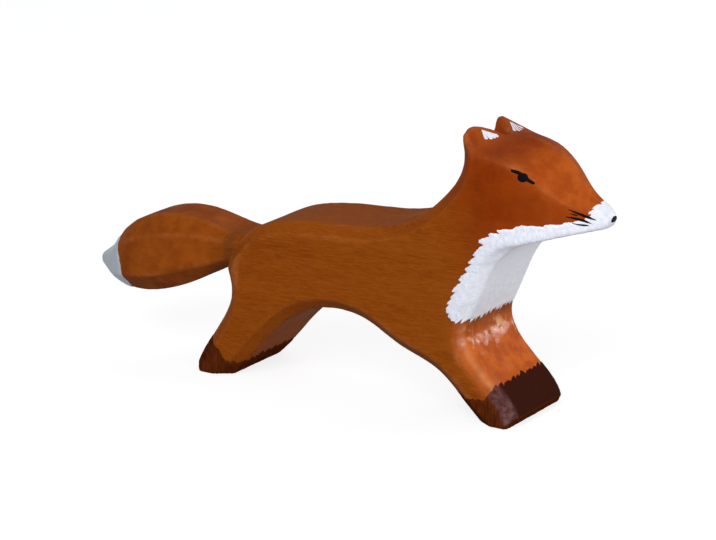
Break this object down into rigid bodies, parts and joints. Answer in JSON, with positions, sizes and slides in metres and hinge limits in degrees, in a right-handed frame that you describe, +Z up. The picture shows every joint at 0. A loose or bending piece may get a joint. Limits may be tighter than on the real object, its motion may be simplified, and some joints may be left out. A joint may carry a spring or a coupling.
{
  "type": "fox figurine",
  "caption": "Running fox figurine carved from a plank and stained red-brown, with painted white bib and tail tip, dark feet, and painted eyes, whiskers and nose.",
  "frame": {"origin": "below the middle of the overall box, on the plane of the soles", "axes": "+X towards the nose, +Y to the fox's left, +Z up"},
  "size_m": [0.1526, 0.0286, 0.0732],
  "materials": {
    "stained_wood": "satin",
    "white_paint": "satin",
    "dark_brown_paint": "satin",
    "black_paint": "satin"
  },
  "bodies": {
    "root": {"carved_body": "stained_wood", "bib_coat": "white_paint", "tail_tip_coat": "white_paint", "left_ear_strokes": "white_paint", "right_ear_strokes": "white_paint", "front_sock_coat": "dark_brown_paint", "hind_sock_coat": "dark_brown_paint", "nose_coat": "black_paint", "left_eye": "black_paint", "right_eye": "black_paint", "left_whiskers": "black_paint", "right_whiskers": "black_paint"}
  },
  "joints": []
}
